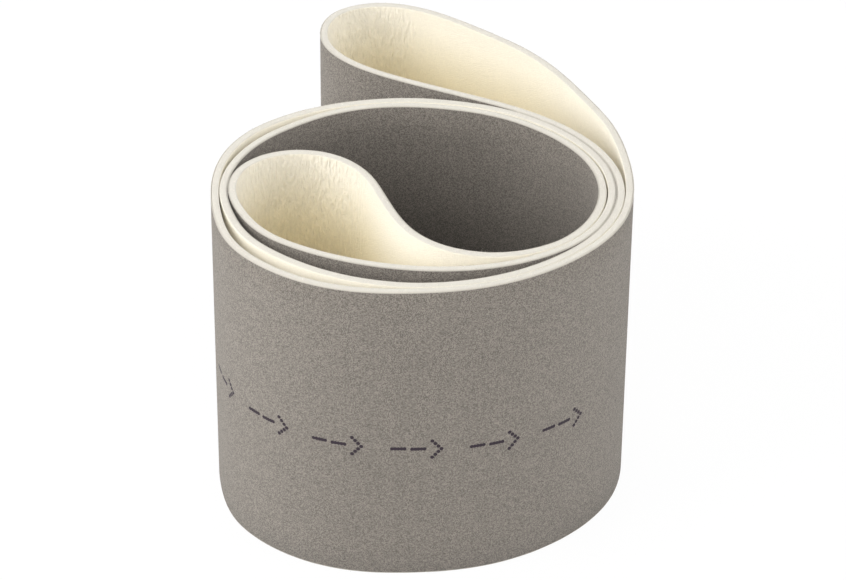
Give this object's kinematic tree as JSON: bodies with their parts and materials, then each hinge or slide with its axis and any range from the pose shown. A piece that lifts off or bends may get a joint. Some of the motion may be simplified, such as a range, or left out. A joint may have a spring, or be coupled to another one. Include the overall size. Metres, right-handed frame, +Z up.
{
  "type": "felt polishing belt",
  "caption": "Endless polishing belt of thick cream felt on a grey cloth back, pressed flat and wound into a coil that stands on its edge.",
  "frame": {"origin": "centre of the wound belt's bounding box, on the surface that its lower edge stands on", "axes": "+Z up along the belt's width, +Y from the coil's front towards the outer bight behind it, +X to the right of the pictured front"},
  "size_m": [0.187, 0.2526, 0.15],
  "materials": {
    "cream_felt": "soft pressed felt",
    "grey_cloth": "fine woven cloth"
  },
  "bodies": {
    "root": {"felt_band": "cream_felt", "backing_cloth": "grey_cloth"}
  },
  "joints": []
}
